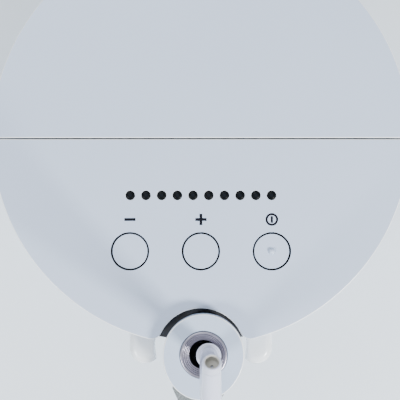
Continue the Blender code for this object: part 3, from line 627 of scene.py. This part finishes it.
def build_marks():
    """The printed minus, plus and power signs."""
    rings = [(0, TOP_Z - 0.02), (0, TOP_Z + 0.02)]
    signs = {}
    for name in KEYS:
        x = middle(f"{name}_button")[0]
        half, thick = 2.15, 0.55
        at = shift((x, SIGNS_Y, 0))
        if name == "minus":
            outline = bar_outline(half, thick)
            signs[name] = slab("minus_mark", outline, rings, at)
        elif name == "plus":
            outline = []
            for quarter in range(4):
                turn = Matrix.Rotation(math.pi / 2 * quarter, 2)
                for p in ((half, -thick), (half, thick), (thick, thick)):
                    outline.append(tuple(turn @ Vector(p)))
            signs[name] = slab("plus_mark", outline, rings, at)
        else:
            low, high = rings[0][1], rings[1][1]
            ring = [(1.62, low), (2.42, low), (2.42, high), (1.62, high)]
            signs[name] = lathe("power_mark", ring, sides=64, place=at)
            stroke = slab("power_stroke_mark", bar_outline(0.42, 1.3), rings, at)
            show(stroke, "ink_and_painted_shade", "base", slot="dark_lens")
    for sign in signs.values():
        show(sign, "ink_and_painted_shade", "base", slot="dark_lens")


def bar_outline(half_x, half_y):
    radius = min(half_x, half_y) * 0.3
    corners = [(half_x, -half_y), (half_x, half_y), (-half_x, half_y), (-half_x, -half_y)]
    return rounded([(x, y, radius) for x, y in corners])


# Lid and tank

ALONG_X = Matrix.Rotation(math.pi / 2, 4, "Y")


def barrel(name, start, length, radius, at_y, at_z, sides=40):
    """A round bar along X."""
    profile = [(0, 0), (radius, 0), (radius, length), (0, length)]
    return lathe(name, profile, sides=sides, place=shift((start, at_y, at_z)) @ ALONG_X)


def build_lid():
    front = lid_low.y
    low = SKIRT_Z + 0.3
    round_plan = arc(0, 0, RIM_R, 0, 2 * math.pi, 2 * FINE)[:-1]
    lid = slab("lid_shell", round_plan, edged(low, TOP_Z, 0.3, EDGE_R), shift(BASE))
    inner = rear_outline(RIM_R - WALL, front - BASE_Y + WALL)
    under = TOP_Z - TOP_T
    tools = [
        seam_cutter(front, -1),
        slab("space", inner, [(0, low - 1), (0, under)], shift(BASE)),
        block("gate", (-GATE_HALF, BASE_Y + 64.0, low - 1), (GATE_HALF, BASE_Y + 90.0, under)),
    ]
    carve(lid, tools)
    half = LID_KNUCKLE_HALF
    web = block("web", (-half, HINGE_Y - 2.2, HINGE_Z), (half, HINGE_Y + 3.0, under + 1))
    joined = [web, barrel("knuckle", -half, 2 * half, KNUCKLE_R, HINGE_Y, HINGE_Z)]
    for x in (-26, 26):
        start, end = (x - 0.8, front + 2, under - 2), (x + 0.8, HINGE_Y - 12, under + 1)
        joined.append(block("rib", start, end))
    carve(lid, joined, "UNION")
    carve(lid, [barrel("pin_hole", -40, 80, PIN_HOLE_R, HINGE_Y, HINGE_Z)])
    show(lid, "white_plastic", "lid", "tank_lid")
    # Painted highlight on the lid's rounded upper edges.
    recolour(lid, "rim_white_painted_highlight", lambda at, up: at.z > TOP_Z - EDGE_R and rim(up))


def build_tank():
    low, high = DECK_Z + 0.4, TANK_TOP_Z
    plan = rear_outline(BODY_R, 0.0, TANK_REAR)
    tank = slab("tank_vessel", plan, edged(low, high, 1.6, 0.5), shift(BASE))
    inner = rear_outline(BODY_R - 2, 2.0, TANK_REAR - 2)
    carve(tank, [slab("space", inner, edged(low + 2, 171, 2.5, 0), shift(BASE))])
    spout = [(0, 59.5), (5.6, 59.5), (6.0, 60.0), (6.0, low + 1.5), (0, low + 1.5)]
    joined = [lathe("spout", spout, sides=64, place=shift(OUTLET))]
    length = 13.6
    for start in (-26.0, 12.4):
        front = (start, HINGE_Y - 6.5, 144.0)
        joined.append(block("web", front, (start + length, HINGE_Y + 1, HINGE_Z)))
        joined.append(barrel("knuckle", start, length, KNUCKLE_R, HINGE_Y, HINGE_Z))
    x, rear = LEVEL_LINES_X, BASE_Y + TANK_REAR
    for z, length in LEVEL_LINES:
        joined.append(block("level_line", (x - length, rear - 0.4, z), (x, rear + 0.3, z + 0.9)))
    carve(tank, joined, "UNION")
    bore = [(0, 58), (4.0, 58), (4.0, 75), (0, 75)]
    tools = [lathe("bore", bore, sides=64, place=shift(OUTLET))]
    tools.append(barrel("pin_hole", -30, 60, PIN_HOLE_R, HINGE_Y, HINGE_Z))
    carve(tank, tools)
    show(tank, "tank_plastic", "tank", "water_tank", angle=40)


# Housings, feet and cradle


def build_housings():
    plan = base_outline(BODY_R, CHANNEL_R)
    rings = edged(DRUM_Z, DECK_Z, 1.0, 0.4)
    groove_z = 14.0
    groove = [(0, groove_z - 0.7), (0.45, groove_z - 0.35), (0.45, groove_z + 0.35), (0, groove_z + 0.7)]
    half = len(rings) // 2
    lower = slab("lower_shell", plan, rings[:half] + groove + rings[half:], shift(BASE))
    inner = base_outline(BODY_R - WALL, CHANNEL_R + WALL)
    tools = [slab("space", inner, [(0, DRUM_Z - 1), (0, DECK_Z - 3)], shift(BASE))]
    for at, radius in ((OUTLET, SOCKET_HOLE_R), (WIRE_HOLE, WIRE_HOLE_R)):
        profile = [(0, 50), (radius, 50), (radius, 70), (0, 70)]
        tools.append(lathe("hole", profile, sides=64, place=shift(at)))
    front, back = (-13.2, BASE_Y + 70, 16.8), (13.2, BASE_Y + 85, 35.2)
    tools.append(block("mains_hole", front, back))
    gland = [(0, -9), (4.2, -9), (4.2, 9), (0, 9)]
    along_y = Matrix.Rotation(math.pi / 2, 4, "X")
    tools.append(lathe("gland_hole", gland, sides=40, place=shift((38, BASE_Y - 68.2, 22)) @ along_y))
    carve(lower, tools)
    show(lower, "white_plastic", "base", "base_housing")

    low, high = span("front_housing")
    back = high.y - BASE_Y
    plan = base_outline(BODY_R, CHANNEL_R, back=back)
    front = slab("front_shell", plan, edged(low.z, high.z, 0.4, 0.3), shift(BASE))
    inner = base_outline(BODY_R - WALL, CHANNEL_R + WALL, back=back - WALL)
    carve(front, [slab("space", inner, [(0, low.z - 1), (0, high.z + 1)], shift(BASE))])
    show(front, "white_plastic", "base", "front_housing")


def build_feet():
    for side in ("left", "right"):
        for end in ("front", "rear"):
            node = f"foot_{end}_{side}"
            low, high = span(node)
            radius = (high.x - low.x) / 2
            profile = rounded(
                [
                    (0, 0.5, 0),
                    (radius - 3.4, 0.5, 0.2),
                    (radius - 2.8, 0, 0.2),
                    (radius - 0.7, 0, 0.3),
                    (radius, 0.9, 0.4),
                    (radius, high.z, 0.2),
                    (0, high.z, 0),
                ]
            )
            foot = lathe(f"{node}_pad", profile, sides=64, place=shift(middle(node)))
            show(foot, "rubber", "base", node)


def build_cradle():
    for side, name in ((-1, "left"), (1, "right")):
        low, high = span(f"cradle_arm_{name}")
        outer = max(abs(low.x), abs(high.x))
        x = side * (outer - ARM_R)
        plan = arc(x, ARM_R - ARM_DEPTH, ARM_R, math.pi, 2 * math.pi, 32)
        plan += [(x + ARM_R, ARM_BACK), (x - ARM_R, ARM_BACK)]
        at = shift((0, HANDLE.y, 0))
        arm = slab(f"cradle_horn_{name}", plan, edged(low.z, high.z, 3.0, 3.4, 8), at)
        seat = base_outline(BODY_R + GAP, CHANNEL_R - GAP)
        start, end = low.z - 2, high.z + 2
        bore = [(0, start), (CHANNEL_R, start), (CHANNEL_R, end), (0, end)]
        tools = [slab("seat", seat, [(0, start), (0, end)], shift(BASE))]
        tools.append(lathe("bore", bore, place=shift(NOTCH)))
        carve(arm, tools)
        # Painted highlight: the arms get a much lighter copy of the white plastic.
        show(arm, "arm_white_painted_highlight", "base", f"cradle_arm_{name}", slot="white_gloss")
    # Painted shade: the dark rubber lining fills the gap between the notch wall and the handle, where the
    # gap is in shade.
    low, high = span("cradle_liner")
    start, end = LINER_ANGLE, math.pi - LINER_ANGLE
    plan = arc(0, 0, CHANNEL_R - GAP, start, end, 48)
    away = HANDLE - NOTCH
    plan += arc(away.x, away.y, LINER_INNER_R, end, start, 48)
    lining = slab("cradle_painted_shade_lining", plan, edged(low.z, high.z, 0.5, 0.6), shift(NOTCH))
    show(lining, "rubber", "base", "cradle_liner")
    low, high = span("handle_cup")
    cup = rounded(
        [
            (5.5, low.z, 0.3),
            (CUP_R, low.z, 1.0),
            (CUP_R, high.z, 0.9),
            (CUP_INNER_R, high.z, 0.9),
            (CUP_INNER_R, CUP_FLOOR_Z, 1.0),
            (5.5, CUP_FLOOR_Z, 0.3),
        ]
    )
    show(lathe("cup_shell", cup, place=shift(HANDLE)), "white_plastic", "base", "handle_cup")


# Handle and nozzle


def half_plan(outer, inner, side):
    seam = 0.15
    out, inn = math.asin(seam / outer), math.asin(seam / inner)
    points = arc(0, 0, outer, out, math.pi - out, 64) + arc(0, 0, inner, math.pi - inn, inn, 64)
    if side > 0:
        return points
    return [(x, -y) for x, y in reversed(points)]


def build_handle():
    at = shift(HANDLE)
    turned_at = at @ TWIST
    low, high = head_low.z, head_high.z
    stretch = HEAD_FRONT_R / HEAD_R
    around = arc(0, 0, HEAD_R, 0, 2 * math.pi, FINE)[:-1]
    plan = [(x, y * stretch if y < 0 else y) for x, y in around]
    head = slab("handle_crown", plan, edged(HEAD_PLATE_Z, high, 0.4, HEAD_EDGE_R), turned_at)
    neck = [(0, low), (NECK_R, low), (NECK_R, HEAD_PLATE_Z + 1), (0, HEAD_PLATE_Z + 1)]
    carve(head, [lathe("neck", neck, place=at)], "UNION")
    floor = collar_low.z - GAP
    bore = rounded(
        [
            (0, low - 1, 0),
            (11.6, low - 1, 0),
            (11.6, low + 1, 0),
            (3.2, low + 1, 0),
            (3.2, floor, 0),
            (COLLAR_R + GAP, floor, 0),
            (COLLAR_R + GAP, high - 0.1, 0),
            (COLLAR_R + 0.4, high, 0),
            (COLLAR_R + 0.4, high + 1, 0),
            (0, high + 1, 0),
        ]
    )
    slot = block("thumb_slot", (-7.4, -20, 156.6), (7.4, -9.8, 161.4), turned_at)
    carve(head, [lathe("bore", bore, sides=FINE, place=at), slot])
    show(head, "white_gloss", "handle", "handle_head")
    # Painted shade: the floor of the bore under the collar is made near-black.
    recolour(head, "ink_and_painted_shade", lambda at, up: abs(at.z - floor) < 0.05)
    # Painted highlight on the head's rounded upper edge.
    edge_z = high - HEAD_EDGE_R
    recolour(head, "rim_gloss_painted_highlight", lambda at, up: at.z > edge_z and rim(up) and off(at) > HEAD_R - 2)

    low, high = span("handle_front_shell")
    window = block("window", (-3.2, -20, 96.0), (3.2, -8, 118.0), turned_at)
    for name, side in (("front", -1), ("rear", 1)):
        rings = edged(low.z, high.z, 0.4, 0.5)
        grooves = []
        for k in range(GROOVE_COUNT):
            z = GROOVE_Z + GROOVE_PITCH * k
            grooves += [(0, z - 0.6), (0.3, z - 0.2), (0.3, z + 0.2), (0, z + 0.6)]
        half = len(rings) // 2
        plan = half_plan(GRIP_R, GRIP_INNER_R, side)
        shell = slab(f"grip_{name}", plan, rings[:half] + grooves + rings[half:], turned_at)
        if side < 0:
            carve(shell, [window])
        show(shell, "white_gloss", "handle", f"handle_{name}_shell")

    low, high = span("handle_end_cap")
    cap = rounded([(3.4, low.z, 0.2), (GRIP_R, low.z, 1.0), (GRIP_R, high.z, 0.2), (3.4, high.z, 0.2)])
    show(lathe("grip_end", cap, place=at), "grey_plastic", "handle", "handle_end_cap")

    half = [(-7.0, -12.0, 0), (-7.0, -15.4, 0.3), (-9.9, -14.1, 0.35), (-9.8, -15.2, 0.35)]
    half += [(-7.3, -19.1, 0.8), (-6.6, -22.3, 2.6)]
    plan = rounded(half + [(-x, y, r) for x, y, r in reversed(half)])
    low, high = span("release_button")
    key = slab("release_key", plan, edged(low.z, high.z, 0.2, 0.3), turned_at)
    show(key, "grip_grey", "release_button", "release_button", slot="grey_plastic")


def build_collar():
    low, high = collar_low, collar_high
    radius, hole = COLLAR_R + 0.12, COLLAR_HOLE_R
    profile = [(hole, low.z, 0.1), (radius, low.z, 0.2), (radius, high.z, 0.35)]
    ridges = 4
    inside = radius - 0.9
    step = (inside - hole) / ridges
    profile.append((inside, high.z, 0.15))
    for k in range(ridges):
        r = inside - step * k
        top = high.z - 0.38 * k
        profile.append((r - 0.10, top - 0.85, 0.05))
        profile.append((r - step * 0.45, top - 0.85, 0.05))
        profile.append((r - step * 0.6, top - 0.30, 0.06))
        profile.append((r - step, top - 0.38, 0.06))
    collar = lathe("collar_ring", rounded(profile, 3), sides=FINE, place=shift(HANDLE))
    show(collar, "collar_metal", "collar", "nozzle_collar", angle=50)
    # Painted shade: the collar hole's wall is made near-black.
    recolour(collar, "ink_and_painted_shade", lambda at, up: off(at) < hole + 0.03)


def pipe(name, stations, sides=48):
    """A smooth round bar through (point, radius) stations that lie in one upright plane."""
    points, faces = [], []
    for k, (here, radius) in enumerate(stations):
        before = stations[max(k - 1, 0)][0]
        after = stations[min(k + 1, len(stations) - 1)][0]
        along = (after - before).normalized()
        side = Vector((1, 0, 0))
        up = along.cross(side)
        for j in range(sides):
            a = 2 * math.pi * j / sides
            points.append(here + radius * (math.cos(a) * side + math.sin(a) * up))
    for k in range(len(stations) - 1):
        for j in range(sides):
            a, b = k * sides + j, k * sides + (j + 1) % sides
            faces.append([a, b, b + sides, a + sides])
    faces.append(list(range(sides)))
    faces.append(list(range(len(points) - sides, len(points))))
    return mesh_object(name, points, faces)


NOZZLE_LEAN = math.radians(40.0)
NOZZLE_R = 3.3
NOZZLE_END_R = 2.6
MOUTH_R = 1.85
BEND_TAPER = 0.55  # share of the nozzle's taper that lies in its bend


def build_nozzle():
    plug_low, plug_high = span("nozzle_plug")
    x, y = (plug_low.x + plug_high.x) / 2, (plug_low.y + plug_high.y) / 2
    flange_r = (plug_high.x - plug_low.x) / 2
    low, high = plug_low.z, plug_high.z
    plug = rounded(
        [
            (0, low, 0),
            (2.5, low, 0.2),
            (2.5, low + 2.6, 0),
            (3.0, low + 3.0, 0),
            (3.0, high - 1.4, 0.2),
            (flange_r, high - 1.4, 0.15),
            (flange_r, high - 0.75, 0.3),
            (flange_r - 0.55, high - 0.65, 0.1),
            (flange_r - 0.75, high, 0.25),
            (0, high, 0),
        ]
    )
    flange = lathe("nozzle_flange", plug, place=shift((x, y, 0)))
    show(flange, "nozzle_plastic", "nozzle", "nozzle_plug", angle=50)

    low, high = span("jet_nozzle_shaft")
    rise, bend = 230.6, 12.0
    stations = [(Vector((x, y, low.z)), 3.5), (Vector((x, y, low.z + 0.5)), NOZZLE_R)]
    stations += [(Vector((x, y, low.z + 6.0 * k)), NOZZLE_R) for k in range(1, 10)]
    turns = 20
    for k in range(turns + 1):
        a = NOZZLE_LEAN * k / turns
        at = Vector((x, y + bend * (1 - math.cos(a)), rise + bend * math.sin(a)))
        stations.append((at, NOZZLE_R + (BEND_TAPER * k / turns) * (NOZZLE_END_R - NOZZLE_R)))
    lean = Vector((0, math.sin(NOZZLE_LEAN), math.cos(NOZZLE_LEAN)))
    end = stations[-1][0]
    straight = 14.85
    for k in range(1, 9):
        t = k / 8
        radius = NOZZLE_R + (BEND_TAPER + (1 - BEND_TAPER) * t) * (NOZZLE_END_R - NOZZLE_R)
        stations.append((end + lean * straight * t, radius))
    stem = pipe("jet_stem", stations)
    show(stem, "nozzle_plastic", "nozzle", "jet_nozzle_shaft")

    start = stations[-1][0] + lean * 0.05
    length, depth, jet = 3.3, 2.5, 0.4
    profile = rounded(
        [
            (jet, 0, 0),
            (NOZZLE_END_R, 0, 0.1),
            (NOZZLE_END_R, length, 0.35),
            (MOUTH_R, length, 0.3),
            (MOUTH_R, length - depth, 0.4),
            (jet, length - depth, 0.1),
        ]
    )
    place = shift(start) @ Matrix.Rotation(-NOZZLE_LEAN, 4, "X")
    mouth_ring = lathe("jet_mouth", profile, sides=64, place=place)
    show(mouth_ring, "nozzle_tip", "nozzle", "nozzle_tip", angle=50)

    def is_outer(at, up):
        away = at - start
        return (away - lean * away.dot(lean)).length > MOUTH_R + 0.2

    recolour(mouth_ring, "nozzle_plastic", is_outer)


def build():
    build_panel()
    build_buttons()
    build_lights()
    build_marks()
    build_lid()
    build_tank()
    build_housings()
    build_feet()
    build_cradle()
    build_handle()
    build_collar()
    build_nozzle()


build()


# Stage, light and camera


def area(name, at, toward, size, power, colour=(1, 1, 1)):
    lamp = bpy.data.lights.new(name, "AREA")
    lamp.shape = "RECTANGLE"
    lamp.size, lamp.size_y = size
    lamp.energy = power
    lamp.color = colour
    made = bpy.data.objects.new(name, lamp)
    made.location = at
    made.rotation_euler = (Vector(toward) - Vector(at)).to_track_quat("-Z", "Y").to_euler()
    bpy.context.scene.collection.objects.link(made)


FLOOR_HALF = 12.0
FLOOR_TONE = (0.80, 0.885, 0.95)
LIGHT_TINT = (0.95, 0.97, 1.0)


def build_stage():
    side = FLOOR_HALF
    points = [(-side, -side, 0), (side, -side, 0), (side, side, 0), (-side, side, 0)]
    mesh = bpy.data.meshes.new("floor")
    mesh.from_pydata(points, [], [[0, 1, 2, 3]])
    floor = bpy.data.objects.new("floor", mesh)
    mesh.materials.append(moulded("floor", FLOOR_TONE, (0.5, 0.6), grain=400, depth=0.01))
    bpy.context.scene.collection.objects.link(floor)
    world = bpy.data.worlds.new("world")
    world.use_nodes = True
    background = world.node_tree.nodes["Background"]
    background.inputs["Color"].default_value = (0.93, 0.96, 1.0, 1.0)
    background.inputs["Strength"].default_value = 0.58
    bpy.context.scene.world = world
    area("key", (0.58, -0.56, 0.76), (0, 0, 0.1), (0.2, 0.2), 17.0)
    area("fill", (-0.75, -0.6, 0.9), (0, 0, 0.1), (0.3, 0.3), 12.0, LIGHT_TINT)
    area("top", (-0.35, 0.8, 1.2), (0, 0.05, 0), (1.0, 1.0), 10.0, LIGHT_TINT)


CAMERA_AT = (-0.00034, -0.0119, 0.4732)
LENS_MM = 73.8


def build_camera():
    lens = bpy.data.cameras.new("camera")
    lens.lens = LENS_MM
    lens.sensor_width = 36.0
    lens.clip_start = 0.01
    camera = bpy.data.objects.new("camera", lens)
    camera.location = CAMERA_AT
    bpy.context.scene.collection.objects.link(camera)
    bpy.context.scene.camera = camera


build_stage()
build_camera()


# CAD nodes that keep their shape

SLOT_OF = {part["node"]: part["material_slot"] for part in frame["record"]["subparts"]}
for node, piece in nodes.items():
    piece.data.materials.clear()
    piece.data.materials.append(LOOKS[SLOT_OF[node]])
